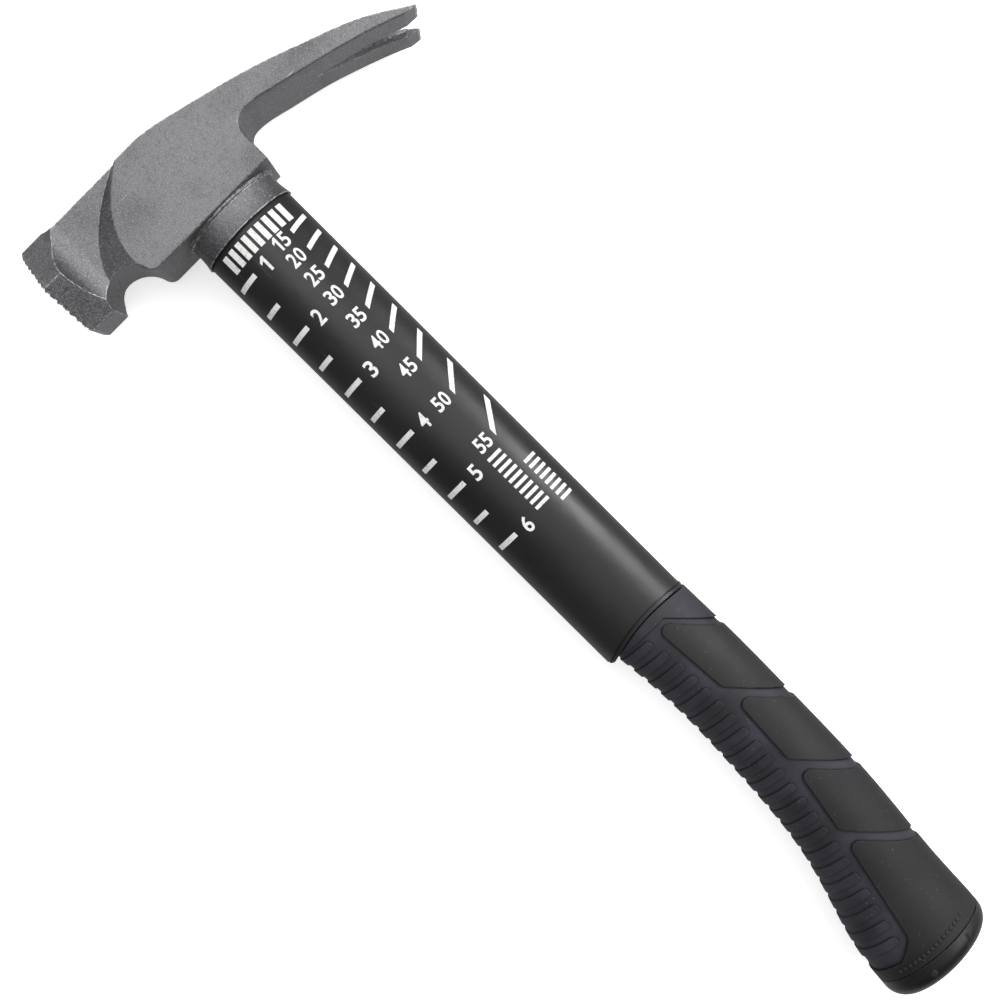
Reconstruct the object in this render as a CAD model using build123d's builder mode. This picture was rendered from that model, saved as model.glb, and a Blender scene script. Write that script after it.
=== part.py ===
from build123d import *

import os
from math import cos, radians, sin, tan

# Framing hammer: cast titanium head on a fibreglass handle with a moulded sleeve, a ribbed
# rubber grip and a butt cap. All sizes are in millimetres.
#
# Frame: the origin is where the handle's centre line crosses the head's underside, which is also
# where the head stops in a belt loop. +X runs down the handle to the butt, +Y towards the claw,
# and +Z out of the near cheek. Z = 0 is the plane of symmetry.

# ---------------------------------------------------------------- head: cheeks and claw
HEAD_TOP = -36.0          # X of the head's top over the handle
CHEEK_HALF = 14.0         # half thickness of the cheeks and the claw
SHOULDER_Y = 22.0         # claw side of the cheeks, beside the handle
CLAW_ROOT_R = 6.0         # round corner between the shoulder and the claw's underside
CLAW_ROOT_X = -17.2       # X of the claw's underside at its root
CLAW_REACH = 94.0         # handle centre line to the claw's tip
CLAW_TIP_X = 0.3          # X of the claw's tip edge
CLAW_TIP_HALF = 16.8      # half width of the flared claw at its tip
CLAW_FLARE_Y = 58.0       # where the claw starts to flare
TIP_BEVEL = 5.0           # length of the sharpened tip
SLOT_HALF = 3.75          # half width of the nail slot at the tip
SLOT_ROOT_Y = 57.0        # where the nail slot ends
SLOT_BEVEL = 1.7          # bevel that sharpens the slot's edges on the claw's underside
EDGE_R = 0.8              # worn edges of the cheeks and the claw

# The claw's curves as (X, share of the reach) between the cheek and the tip
CLAW_TOP = ((-33.0, 0.106), (-25.0, 0.426), (-17.5, 0.647), (-8.6, 0.855))
CLAW_UNDER = ((-15.2, 0.423), (-11.4, 0.590), (-6.9, 0.753))

# ---------------------------------------------------------------- head: poll and striking face
STRIKE_X = -20.3          # X of the striking axis
FACE_REACH = 63.6         # handle centre line to the striking face
FACE_TILT = 2.0           # degrees that the face leans out at its top
FACE_CHAMFER = 1.9
POLL_HALF_FLATS = 17.9    # half the poll's height across its flats
POLL_HALF_SPAN = 20.0     # half the poll's width across its side ridges
POLL_HALF_LAND = 8.8      # half the width of its top and bottom flats
POLL_LENGTH = 12.1        # face to the poll's rear edge on its flats
NECK_HALF_TOP = 12.2      # half thickness of the neck at the head's top
NECK_HALF_LOW = 8.4       # half thickness of the neck at the head's underside
NECK_SWEEP_R = 9.3        # hollow between the neck and the poll
NECK_SWEEP_Y = -45.5      # where that hollow starts
NECK_WIDENS = 3.0         # how much wider than the poll the neck's form may be,
NECK_LAND_WIDENS = 4.0    # and how much wider its flats
NOTCH_R = 9.4             # round notch under the neck
NOTCH_X = -0.9
NOTCH_Y = -43.5
NOTCH_CORNER_R = 4.0
TOOTH_PITCH = 2.4         # milled face
TOOTH_LAND = 0.5
TOOTH_DEPTH = 1.3

# The cheek's edge over the neck, at the cheek's face and at the neck's lowest level
CHEEK_EDGE = ((-35.2, -17.0), (-28.0, -25.5), (-19.0, -32.2), (-8.0, -35.0))
CHEEK_FOOT = ((-35.8, -22.0), (-30.5, -35.5), (-20.5, -46.5), (-8.0, -50.0))
CHEEK_FOOT_Z = 8.0

# ---------------------------------------------------------------- head: nail starter on top
NAIL_GROOVE_R = 2.0
NAIL_POCKET_Y = -20.0     # back wall of the pocket for the nail's head
NAIL_POCKET = (3.4, 3.4, 11.0)
MAGNET_R = 3.5
MAGNET_LENGTH = 4.0
MAGNET_Y = -38.0

# ---------------------------------------------------------------- handle
COLLAR_LENGTH = 10.0
COLLAR_LIP = 0.7          # collar rim standing proud of the sleeve
COLLAR_WAIST = 0.0        # the same half way to the head
COLLAR_FOOT = 0.3         # the same at the head
BEAD_R = 1.0              # raised bead where the collar leaves the head
BEAD_LIP = 0.8            # the bead standing proud of the sleeve
BEAD_ROUND = 0.5
SLEEVE_HALF_W = 19.2
SLEEVE_HALF_T = 12.0
SLEEVE_LENGTH = 194.0     # collar rim to the middle of the sleeve's end
CORE_HALF_W = 12.5
CORE_HALF_T = 8.0
BOND_GAP = 1.2            # epoxy between the core and the head's socket
SOCKET_DEPTH = 34.0       # collar rim to the socket's floor
SEAL_WIDTH = 0.8          # sealing ring between the collar and the sleeve
SEAL_RECESS = 0.35
LIP_WIDTH = 1.3           # moulded lip at the sleeve's end
LIP_LINE = 0.45           # width and depth of the line above the lip
LIP_RISE = 0.4            # lip standing proud of the sleeve
LIP_CORNER_R = 2.2        # lip's lower corner at its face side
END_DIP_CLAW = 2.8        # how far the sleeve's end runs on at its claw side,
END_DIP_FACE = 5.8        # and at its face side
SLEEVE_GAP = 0.6          # open line between the sleeve and the grip

# ---------------------------------------------------------------- grip
GRIP_LENGTH = 167.0       # middle of the sleeve's end to the flat of the butt
BAND_LENGTH = 4.4         # plain raised ring next to the sleeve
BAND_CORNER_Y = 6.0       # above this the ring runs on beside the first panel,
BAND_CHANNEL = 4.2        # with this much between them
PANEL_RISE = 0.8          # smooth panels and the plain ring over the grip's base
RIB_RISE = 0.6            # finger ribs over the grip's base
RIB_PITCH = 6.45
RIB_WIDTH = 3.2
RIB_ROUND = 1.2
RIB_START = 8.0           # sleeve's end to the first rib
RIB_CREST = 33.0          # sleeve's end to where the ribs reach highest
RIB_CREST_Y = -0.6
RIB_CLIMB = 0.0045        # how fast the ribs' ends climb to there,
RIB_FALL = 0.0013         # and fall away from it
PANEL_COUNT = 4
PANEL_START = 0.8         # sleeve's end to the first panel, on the handle's centre line
PANEL_PITCH = 36.4
PANEL_LENGTH = 31.4
PANEL_SLANT = 41.5        # degrees
PANEL_CLIMB = 0.0023      # how fast the panels' lower edges climb to the crest
PANEL_GAP = 4.0           # between the ribs' ends and the panels
PANEL_CORNER_R = 2.6
TAIL_LENGTH = 5.8         # the last panel runs right round the grip for this far before the cap
TAIL_STEP = (5.5, 7.5)    # rounded step from its lower edge down to there
TAIL_R = 4.0
CAP_LENGTH = 10.0         # butt cap along the handle, at the middle
CAP_EDGE_R = 7.0
CAP_LINE = 0.4            # open line between the last panel and the cap

# Grip sections: share of the grip's length, back (claw side), front (face side), half thickness
GRIP_SECTIONS = (
    (-0.02, 19.8, -16.8, 11.5),
    (0.057, 19.9, -15.3, 12.0),
    (0.176, 20.3, -13.9, 12.4),
    (0.311, 20.1, -14.1, 12.7),
    (0.487, 19.5, -15.9, 13.0),
    (0.621, 18.3, -18.9, 13.5),
    (0.745, 16.3, -24.6, 14.1),
    (0.870, 14.7, -30.2, 14.9),
    (1.000, 12.8, -33.4, 15.5),
)

# ---------------------------------------------------------------- worked out from the above
SLEEVE_START = COLLAR_LENGTH + SEAL_WIDTH
SLEEVE_END = COLLAR_LENGTH + SLEEVE_LENGTH
SOCKET_FLOOR = COLLAR_LENGTH - SOCKET_DEPTH
GRIP_END = SLEEVE_END + GRIP_LENGTH
CAP_START = GRIP_END - CAP_LENGTH
TAIL_START = CAP_START - TAIL_LENGTH
CAP_CENTRE_Y = (GRIP_SECTIONS[-1][1] + GRIP_SECTIONS[-1][2]) / 2
CORE_END = CAP_START - 23.0
OVER = 24.0               # just over the grip's back
FAR = 60.0                # past the object on every side

os.makedirs("parts", exist_ok=True)


def finish(builder, label):
    """Label a finished piece and write it."""
    builder.part.label = label
    export_step(builder.part, f"parts/{label}.step")


def hexagon(half_flats, half_span, half_land):
    """The poll's section as points (X, Z) about the striking axis."""
    quarter = [(half_flats, half_land), (0, half_span), (-half_flats, half_land)]
    return quarter + [(x, -z) for x, z in reversed(quarter)]


def end_region(shift, length):
    """The strip of the XY plane past the sleeve's curved end, moved down the handle by shift."""
    claw = (SLEEVE_END + END_DIP_CLAW + shift, SLEEVE_HALF_W + LIP_RISE)
    face = (SLEEVE_END + END_DIP_FACE + shift, -SLEEVE_HALF_W - LIP_RISE)
    with BuildSketch() as region:
        with BuildLine():
            ThreePointArc(claw, (SLEEVE_END + shift, SLEEVE_HALF_W / 6), face)
            Polyline(face, (face[0], -FAR), (face[0] + length, -FAR), (face[0] + length, FAR),
                     (claw[0], FAR), claw)
        make_face()
    return region.sketch


def cap_region(shift):
    """The part of the XY plane past the butt cap's parting line, moved down the handle by shift."""
    claw = (CAP_START + 2.3 + shift, CAP_CENTRE_Y + 26)
    face = (CAP_START - 0.9 + shift, CAP_CENTRE_Y - 26)
    with BuildSketch() as region:
        with BuildLine():
            ThreePointArc(claw, (CAP_START + shift, CAP_CENTRE_Y), face)
            Polyline(face, (face[0], -FAR), (GRIP_END + FAR, -FAR), (GRIP_END + FAR, FAR),
                     (claw[0], FAR), claw)
        make_face()
    return region.sketch


def slanted(x, y):
    """X at height y of a panel's slanted edge that crosses the handle's centre line at x."""
    return x + y / tan(radians(PANEL_SLANT))


def crest_line(x, climb):
    """Y of a line along the grip that climbs to the ribs' crest and falls away behind it."""
    past = x - SLEEVE_END - RIB_CREST
    return RIB_CREST_Y - (climb if past < 0 else RIB_FALL) * past ** 2


def panel_low(x):
    """Y of the panels' lower edges at a place along the handle."""
    return crest_line(x, PANEL_CLIMB) + PANEL_GAP


def grip_form(drop):
    """The grip's form lowered by drop all round, lofted through its sections."""
    with BuildPart() as form:
        for share, back, front, half in GRIP_SECTIONS:
            middle = (SLEEVE_END + share * GRIP_LENGTH, (back + front) / 2, 0)
            with BuildSketch(Plane(middle, x_dir=(0, 1, 0), z_dir=(1, 0, 0))):
                Ellipse((back - front) / 2 - drop, half - drop)
        loft()
    return form.part


# ================================================================ head, forms that are joined
# The hexagonal poll, widening towards the neck so that the neck stays inside it.
POLL_REAR = Plane((STRIKE_X, POLL_LENGTH - FACE_REACH, 0), x_dir=(1, 0, 0), z_dir=(0, -1, 0))
NECK_FRONT = Plane((STRIKE_X, NECK_SWEEP_Y + 5, 0), x_dir=(1, 0, 0), z_dir=(0, -1, 0))
POLL_SECTION = hexagon(POLL_HALF_FLATS, POLL_HALF_SPAN, POLL_HALF_LAND)
NECK_SECTION = hexagon(POLL_HALF_FLATS + NECK_WIDENS, POLL_HALF_SPAN + NECK_WIDENS,
                       POLL_HALF_LAND + NECK_LAND_WIDENS)
with BuildPart() as poll_envelope:
    with BuildSketch(POLL_REAR):
        Polygon(*POLL_SECTION, align=None)
    extrude(amount=POLL_LENGTH + 2)
    with BuildSketch(POLL_REAR):
        Polygon(*POLL_SECTION, align=None)
    with BuildSketch(NECK_FRONT):
        Polygon(*NECK_SECTION, align=None)
    loft(ruled=True)
    with BuildSketch(NECK_FRONT):
        Polygon(*NECK_SECTION, align=None)
    extrude(amount=NECK_SWEEP_Y + 5)

# The neck's plan, thicker at the top than at the underside, with a round hollow up to the poll.
with BuildPart() as neck_and_poll:
    for x, half in ((HEAD_TOP - 4, NECK_HALF_TOP), (STRIKE_X + POLL_HALF_FLATS + 2, NECK_HALF_LOW)):
        with BuildSketch(Plane.YZ.offset(x)):
            with BuildLine():
                near = Line((-6, half), (NECK_SWEEP_Y, half))
                sweep = CenterArc((NECK_SWEEP_Y, half + NECK_SWEEP_R), NECK_SWEEP_R, 270, -90)
                Polyline(sweep @ 1, (NECK_SWEEP_Y - NECK_SWEEP_R, 30), (-FACE_REACH - 3, 30),
                         (-FACE_REACH - 3, 0), (-6, 0), near @ 0)
            make_face()
            mirror(about=Plane.XZ)
    loft(ruled=True)
    # side view, with the same hollow up to the poll's top flat
    with BuildSketch(Plane.XY):
        with BuildLine():
            hollow = CenterArc((HEAD_TOP - NECK_SWEEP_R, NECK_SWEEP_Y), NECK_SWEEP_R, 0, -60)
            Polyline(hollow @ 1, (HEAD_TOP - 8, NECK_SWEEP_Y - 9), (HEAD_TOP - 8, -FACE_REACH - 3),
                     (4, -FACE_REACH - 3), (4, -6), (HEAD_TOP, -6), hollow @ 0)
        make_face()
    extrude(amount=POLL_HALF_SPAN + 4, both=True, mode=Mode.INTERSECT)
    add(poll_envelope.part, mode=Mode.INTERSECT)

# A V along the slot's underside, which grows from the slot's root and leaves sharp bevelled edges.
with BuildPart() as slot_bevel:
    places = (*CLAW_UNDER[1:], (CLAW_TIP_X - 0.5, 1 - TIP_BEVEL / CLAW_REACH), (CLAW_TIP_X, 1.05))
    for (x, share), bevel in zip(places, (0.1, SLOT_BEVEL, SLOT_BEVEL, SLOT_BEVEL)):
        slot = SLOT_HALF * (share * CLAW_REACH - SLOT_ROOT_Y) / (CLAW_REACH - SLOT_ROOT_Y)
        depth = max(slot, 0) + bevel
        with BuildSketch(Plane.XZ.offset(-share * CLAW_REACH)):
            Polygon((x - depth, 0), (x + OVER, depth + OVER), (x + OVER, -depth - OVER), align=None)
    loft(ruled=True)

# The cheeks and the claw in one plate, flared and split at the claw's tip.
with BuildPart() as cheeks_and_claw:
    with BuildSketch(Plane.XY):
        with BuildLine():
            tip = (CLAW_TIP_X, CLAW_REACH)
            bevel = (CLAW_TIP_X - 0.5, CLAW_REACH - TIP_BEVEL)
            root = (CLAW_ROOT_X, SHOULDER_Y + CLAW_ROOT_R)
            shoulder = (CLAW_ROOT_X + CLAW_ROOT_R, SHOULDER_Y)
            Spline((HEAD_TOP, -9), *[(x, share * CLAW_REACH) for x, share in CLAW_TOP], tip,
                   tangents=((0, 1), (0.53, 0.85)))
            Line(tip, bevel)
            Spline(bevel, *[(x, share * CLAW_REACH) for x, share in reversed(CLAW_UNDER)], root,
                   tangents=((-0.4, -0.92), (0, -1)))
            RadiusArc(root, shoulder, -CLAW_ROOT_R)
            Polyline(shoulder, (0, SHOULDER_Y), (0, CHEEK_EDGE[0][1]),
                     (HEAD_TOP, CHEEK_EDGE[0][1] + 1.5), (HEAD_TOP, -9))
        make_face()
    extrude(amount=CLAW_TIP_HALF + 1, both=True)
    # plan of the plate, with the flare
    with BuildSketch(Plane.YZ.offset(HEAD_TOP - 5)):
        with BuildLine():
            Polyline((-30, 0), (-30, CHEEK_HALF), (CLAW_FLARE_Y, CHEEK_HALF),
                     (CLAW_REACH, CLAW_TIP_HALF), (CLAW_REACH + 2, CLAW_TIP_HALF),
                     (CLAW_REACH + 2, 0), (-30, 0))
        make_face()
        mirror(about=Plane.XZ)
    extrude(amount=FAR, mode=Mode.INTERSECT)
    # nail slot
    with BuildSketch(Plane.YZ.offset(HEAD_TOP - 5)):
        mouth = SLOT_HALF + 2 * SLOT_HALF / (CLAW_REACH - SLOT_ROOT_Y)
        Polygon((SLOT_ROOT_Y, 0), (CLAW_REACH + 2, mouth), (CLAW_REACH + 2, -mouth), align=None)
    extrude(amount=FAR, mode=Mode.SUBTRACT)
    add(slot_bevel.part, mode=Mode.SUBTRACT)

# The cheek's lobe over the neck: its edge steps down to the neck in a steep band.
with BuildPart() as cheek_lobe:
    for level, edge in ((CHEEK_FOOT_Z, CHEEK_FOOT), (CHEEK_HALF, CHEEK_EDGE)):
        with BuildSketch(Plane.XY.offset(level)):
            with BuildLine():
                rim = Spline(*edge)
                Polyline(rim @ 1, (3, edge[-1][1]), (3, -8), (HEAD_TOP, -8),
                         (HEAD_TOP, edge[0][1] + 1.5), rim @ 0)
            make_face()
    loft(ruled=True)
    extrude(faces().sort_by(Axis.Z)[0], amount=CHEEK_FOOT_Z)
    mirror(about=Plane.XY)

# The collar round the handle: a raised bead at the head and a hollow that flares to the rim.
with BuildPart() as collar:
    with BuildSketch(Plane.YZ.offset(-BEAD_R)):
        Ellipse(SLEEVE_HALF_W + BEAD_LIP, SLEEVE_HALF_T + BEAD_LIP)
    extrude(amount=2 * BEAD_R)
    fillet(edges().sort_by(Axis.X)[-1], BEAD_ROUND)
    for x, proud in ((0, COLLAR_FOOT), (COLLAR_LENGTH / 2, COLLAR_WAIST), (COLLAR_LENGTH, COLLAR_LIP)):
        with BuildSketch(Plane.YZ.offset(x)):
            Ellipse(SLEEVE_HALF_W + proud, SLEEVE_HALF_T + proud)
    loft()

# ================================================================ head
FACE = Plane(origin=(STRIKE_X, -FACE_REACH, 0), x_dir=(0, 0, 1),
             z_dir=(-sin(radians(FACE_TILT)), -cos(radians(FACE_TILT)), 0))
MAGNET_TOP = Plane((HEAD_TOP + NAIL_GROOVE_R - 0.4, MAGNET_Y, 0), z_dir=(1, 0, 0))
with BuildPart() as hammer_head:
    add(cheeks_and_claw.part)
    add(cheek_lobe.part)
    add(neck_and_poll.part)
    # underside of the cheeks, and the round notch under the neck
    with BuildSketch(Plane.XY):
        with Locations((NOTCH_X, NOTCH_Y)):
            Circle(NOTCH_R)
        with Locations((FAR / 2, NOTCH_Y + FAR / 2)):
            Rectangle(FAR, FAR)
        fillet([v for v in vertices() if abs(v.X) < 0.01 and NOTCH_Y < v.Y < 0], NOTCH_CORNER_R)
    extrude(amount=FAR, both=True, mode=Mode.SUBTRACT)
    # striking face
    with BuildSketch(FACE):
        Rectangle(FAR, FAR)
    extrude(amount=10, mode=Mode.SUBTRACT)
    chamfer(faces().sort_by(Axis.Y)[0].edges(), FACE_CHAMFER)
    # worn edges round both cheeks
    for cheek in (-1, 0):
        rim = faces().filter_by(Axis.Z).sort_by(Axis.Z)[cheek].edges()
        worn = [e for e in rim if e.center().X > HEAD_TOP + 0.5 and e.center().Y < 55
                and not (e.center().Y > SHOULDER_Y and e.center().X < -25)]
        fillet(worn, EDGE_R)
    add(collar.part)
    # socket for the core and its epoxy
    with BuildSketch(Plane.YZ.offset(SOCKET_FLOOR)):
        Ellipse(CORE_HALF_W + BOND_GAP, CORE_HALF_T + BOND_GAP)
    extrude(amount=SOCKET_DEPTH + 1, mode=Mode.SUBTRACT)
    # nail starter: groove for the shank, pocket for the nail's head, hole for the magnet
    with BuildSketch(Plane.XZ.offset(-NAIL_POCKET_Y)):
        with Locations((HEAD_TOP, 0)):
            Circle(NAIL_GROOVE_R)
    extrude(amount=FAR, mode=Mode.SUBTRACT)
    with Locations((HEAD_TOP, NAIL_POCKET_Y, 0)):
        Box(*NAIL_POCKET, align=(Align.CENTER, Align.MAX, Align.CENTER), mode=Mode.SUBTRACT)
    with Locations(MAGNET_TOP):
        Cylinder(MAGNET_R, MAGNET_LENGTH, align=(Align.CENTER, Align.CENTER, Align.MIN),
                 mode=Mode.SUBTRACT)
        Cylinder(MAGNET_R, NAIL_GROOVE_R + 1, align=(Align.CENTER, Align.CENTER, Align.MAX),
                 mode=Mode.SUBTRACT)
    # milled face: grooves both ways leave square teeth
    groove_half = (TOOTH_PITCH - TOOTH_LAND) / 2
    groove_count = int(POLL_HALF_SPAN / TOOTH_PITCH) * 2 + 2
    for along in (FACE.x_dir, FACE.y_dir):
        across = FACE.z_dir.cross(along)
        with BuildSketch(Plane(origin=FACE.origin, x_dir=across, z_dir=along)):
            with GridLocations(TOOTH_PITCH, 1, groove_count, 1):
                Polygon((-groove_half, 0), (groove_half, 0), (0, -TOOTH_DEPTH), align=None)
        extrude(amount=FAR / 2, both=True, mode=Mode.SUBTRACT)
finish(hammer_head, "hammer_head")

with BuildPart() as nail_magnet:
    with Locations(MAGNET_TOP):
        Cylinder(MAGNET_R, MAGNET_LENGTH, align=(Align.CENTER, Align.CENTER, Align.MIN))
finish(nail_magnet, "nail_magnet")

# ================================================================ core, bond and seal
with BuildPart() as handle_core:
    with BuildSketch(Plane.YZ.offset(SOCKET_FLOOR + BOND_GAP)):
        Ellipse(CORE_HALF_W, CORE_HALF_T)
    extrude(amount=CORE_END - SOCKET_FLOOR - BOND_GAP)
finish(handle_core, "handle_core")

with BuildPart() as epoxy_bond:
    with BuildSketch(Plane.YZ.offset(SOCKET_FLOOR)):
        Ellipse(CORE_HALF_W + BOND_GAP, CORE_HALF_T + BOND_GAP)
    extrude(amount=SOCKET_DEPTH)
    with BuildSketch(Plane.YZ.offset(SOCKET_FLOOR + BOND_GAP)):
        Ellipse(CORE_HALF_W, CORE_HALF_T)
    extrude(amount=SOCKET_DEPTH, mode=Mode.SUBTRACT)
finish(epoxy_bond, "epoxy_bond")

with BuildPart() as collar_seal:
    with BuildSketch(Plane.YZ.offset(COLLAR_LENGTH)):
        Ellipse(SLEEVE_HALF_W - SEAL_RECESS, SLEEVE_HALF_T - SEAL_RECESS)
        Ellipse(CORE_HALF_W, CORE_HALF_T, mode=Mode.SUBTRACT)
    extrude(amount=SEAL_WIDTH)
finish(collar_seal, "collar_seal")

# ================================================================ sleeve
with BuildPart() as lip_line:
    with BuildSketch(Plane.XY):
        add(end_region(-LIP_WIDTH - LIP_LINE, FAR))
        add(end_region(-LIP_WIDTH, FAR + 5), mode=Mode.SUBTRACT)
    extrude(amount=FAR, both=True)
    with BuildSketch(Plane.YZ.offset(SLEEVE_START)):
        Ellipse(SLEEVE_HALF_W - LIP_LINE, SLEEVE_HALF_T - LIP_LINE)
    extrude(amount=SLEEVE_LENGTH + FAR, mode=Mode.SUBTRACT)

with BuildPart() as lip:
    with BuildSketch(Plane.YZ.offset(SLEEVE_END - FAR / 2)):
        Ellipse(SLEEVE_HALF_W + LIP_RISE, SLEEVE_HALF_T + LIP_RISE)
    extrude(amount=FAR)
    with BuildSketch(Plane.XY):
        add(end_region(-LIP_WIDTH, FAR))
    extrude(amount=FAR, both=True, mode=Mode.INTERSECT)

with BuildPart() as handle_sleeve:
    with BuildSketch(Plane.YZ.offset(SLEEVE_START)):
        Ellipse(SLEEVE_HALF_W, SLEEVE_HALF_T)
    extrude(amount=SLEEVE_LENGTH + FAR / 2)
    add(lip_line.part, mode=Mode.SUBTRACT)
    add(lip.part)
    # side view, with its lower corners rounded
    with BuildSketch(Plane.XY):
        with Locations(((SLEEVE_START + SLEEVE_END) / 2, 0)):
            Rectangle(SLEEVE_LENGTH + FAR / 2, 2 * (SLEEVE_HALF_W + LIP_RISE))
        add(end_region(0, FAR), mode=Mode.SUBTRACT)
        fillet(vertices().group_by(Axis.Y)[0].sort_by(Axis.X)[-1], LIP_CORNER_R)
        fillet(vertices().group_by(Axis.Y)[-1].sort_by(Axis.X)[-1], LIP_CORNER_R / 2)
    extrude(amount=FAR, both=True, mode=Mode.INTERSECT)
    with BuildSketch(Plane.YZ.offset(SLEEVE_START)):
        Ellipse(CORE_HALF_W, CORE_HALF_T)
    extrude(amount=SLEEVE_LENGTH + FAR, mode=Mode.SUBTRACT)
finish(handle_sleeve, "handle_sleeve")

# ================================================================ grip
OUTER_FORM = grip_form(0)
BASE_FORM = grip_form(PANEL_RISE)
RIB_FORM = grip_form(PANEL_RISE - RIB_RISE)

# plain raised ring next to the sleeve, running on beside the first panel
with BuildPart() as band_form:
    with BuildSketch(Plane.XY):
        band_start = SLEEVE_END + PANEL_START - BAND_CHANNEL
        Polygon((SLEEVE_END - 20, -FAR), (SLEEVE_END + BAND_LENGTH, -FAR),
                (SLEEVE_END + BAND_LENGTH, BAND_CORNER_Y), (slanted(band_start, OVER), OVER),
                (SLEEVE_END - 20, OVER), align=None)
    extrude(amount=FAR, both=True)
    add(OUTER_FORM, mode=Mode.INTERSECT)

with BuildPart() as grip_base:
    # finger ribs, round-ended tongues that wrap the face side
    last_rib = TAIL_START - RIB_PITCH - SLEEVE_END
    for i in range(int((last_rib - RIB_START) / RIB_PITCH) + 1):
        x = SLEEVE_END + RIB_START + i * RIB_PITCH
        with BuildSketch(Plane.XY):
            with Locations((x, crest_line(x, RIB_CLIMB) - FAR / 2)):
                RectangleRounded(RIB_WIDTH, FAR, RIB_ROUND)
        extrude(amount=FAR, both=True)
    add(RIB_FORM, mode=Mode.INTERSECT)
    add(BASE_FORM)
    add(band_form.part)
    # cut to the sleeve's end and to the butt cap
    with BuildSketch(Plane.XY):
        with Locations((SLEEVE_END, 0)):
            Rectangle(2 * FAR, 2 * FAR)
        add(end_region(SLEEVE_GAP, FAR + 20), mode=Mode.SUBTRACT)
        add(cap_region(0))
    extrude(amount=FAR, both=True, mode=Mode.SUBTRACT)
    with BuildSketch(Plane.YZ.offset(SLEEVE_END - 5)):
        Ellipse(CORE_HALF_W, CORE_HALF_T)
    extrude(amount=CORE_END - SLEEVE_END + 5, mode=Mode.SUBTRACT)
finish(grip_base, "grip_base")

for i in range(PANEL_COUNT):
    start = SLEEVE_END + PANEL_START + i * PANEL_PITCH
    end = start + PANEL_LENGTH
    upper_left = (slanted(start, OVER), OVER)
    lower_left = (slanted(start, panel_low(start)), panel_low(start))
    lower_right = (slanted(end, panel_low(end)), panel_low(end))
    with BuildPart() as grip_panel:
        with BuildSketch(Plane.XY):
            if i < PANEL_COUNT - 1:
                Polygon(upper_left, lower_left, lower_right, (slanted(end, OVER), OVER), align=None)
                fillet(vertices().filter_by_position(Axis.Y, -FAR, OVER - 1), PANEL_CORNER_R)
            else:
                step = (TAIL_START - TAIL_STEP[0], panel_low(TAIL_START - TAIL_STEP[0]))
                Polygon(upper_left, lower_left, step, (TAIL_START, step[1] - TAIL_STEP[1]),
                        (TAIL_START, -FAR), (GRIP_END, -FAR), (GRIP_END, OVER), align=None)
                fillet(vertices().sort_by(Axis.X)[0], PANEL_CORNER_R)
                turn = [v for v in vertices() if step[0] <= v.X <= TAIL_START and -FAR < v.Y <= step[1]]
                fillet(turn, TAIL_R)
                add(cap_region(-CAP_LINE), mode=Mode.SUBTRACT)
        extrude(amount=FAR, both=True)
        add(OUTER_FORM, mode=Mode.INTERSECT)
        add(BASE_FORM, mode=Mode.SUBTRACT)
    finish(grip_panel, f"grip_panel_{i + 1}")

# ================================================================ butt cap
with BuildPart() as butt_cap:
    with BuildSketch(Plane.XY):
        add(cap_region(0))
    extrude(amount=FAR, both=True)
    add(OUTER_FORM, mode=Mode.INTERSECT)
    fillet(faces().sort_by(Axis.X)[-1].edges(), CAP_EDGE_R)
finish(butt_cap, "butt_cap")
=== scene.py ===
"""Framing hammer: finishes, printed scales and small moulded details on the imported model.

Everything is in metres in the model's own frame: +X runs from the head to the butt, +Y towards
the claw and +Z out of the cheek that carries the print.
"""

import logging
import math
from dataclasses import dataclass, field
from enum import Enum
from typing import Any

import bmesh
import bpy
from mathutils import Matrix, Vector


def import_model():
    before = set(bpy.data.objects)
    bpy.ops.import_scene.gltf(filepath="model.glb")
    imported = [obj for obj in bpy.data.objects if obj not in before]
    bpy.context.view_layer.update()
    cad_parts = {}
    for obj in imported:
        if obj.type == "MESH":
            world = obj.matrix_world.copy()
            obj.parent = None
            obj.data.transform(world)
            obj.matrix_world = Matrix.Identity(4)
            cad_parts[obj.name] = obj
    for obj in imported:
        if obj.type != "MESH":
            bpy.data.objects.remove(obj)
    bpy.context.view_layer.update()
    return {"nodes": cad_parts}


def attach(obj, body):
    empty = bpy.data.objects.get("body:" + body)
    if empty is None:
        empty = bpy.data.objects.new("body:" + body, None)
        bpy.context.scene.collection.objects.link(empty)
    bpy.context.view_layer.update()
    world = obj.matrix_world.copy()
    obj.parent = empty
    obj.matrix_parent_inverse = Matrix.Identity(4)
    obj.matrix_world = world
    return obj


LOG = logging.getLogger("hammer")
MM = 0.001
Nodes = dict[str, bpy.types.Object]


class TickKind(Enum):
    """The two lengths of mark on the inch rule."""

    WHOLE = "whole"
    HALF = "half"


class NumeralRow(Enum):
    """The two rows of printed numbers."""

    INCH = "inch"
    ANGLE = "angle"


# ---------------------------------------------------------------------------- helpers
def linear(colour: str) -> tuple[float, float, float, float]:
    """Turns an sRGB hex colour into linear RGBA.

    Args:
        colour: "#rrggbb".

    Returns:
        Linear red, green, blue and an alpha of 1.
    """
    channels = [int(colour[i:i + 2], 16) / 255 for i in (1, 3, 5)]
    done = [c / 12.92 if c <= 0.04045 else ((c + 0.055) / 1.055) ** 2.4 for c in channels]
    return (done[0], done[1], done[2], 1.0)


def per_metre(size_mm: float) -> float:
    """Pattern scale that gives features of size_mm."""
    return 1 / (size_mm * MM)


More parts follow.
